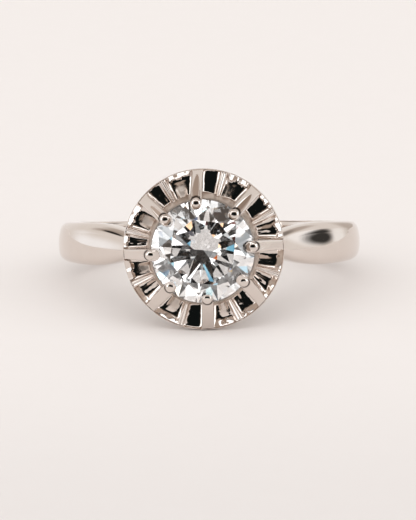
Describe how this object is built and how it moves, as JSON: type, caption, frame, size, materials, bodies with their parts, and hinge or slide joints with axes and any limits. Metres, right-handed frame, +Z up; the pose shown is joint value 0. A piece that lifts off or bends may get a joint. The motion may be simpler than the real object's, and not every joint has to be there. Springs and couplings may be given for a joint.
{
  "type": "solitaire ring",
  "caption": "Solitaire ring lying on its side: a round brilliant held by claws in a round fluted collar, on a white metal band with leaf-shaped shoulders.",
  "frame": {"origin": "centre of the bounding box at its bottom, on the ground that the ring lies on", "axes": "+Z up, -Y the way the stone faces, +X to the right when looking at the stone; the finger axis leans back from +Z by 11.3 degrees"},
  "size_m": [0.0196, 0.0234, 0.01],
  "materials": {
    "white_metal": "polished",
    "stone": "cut and polished"
  },
  "bodies": {
    "root": {"shank_and_setting": "white_metal", "stone": "stone"}
  },
  "joints": []
}
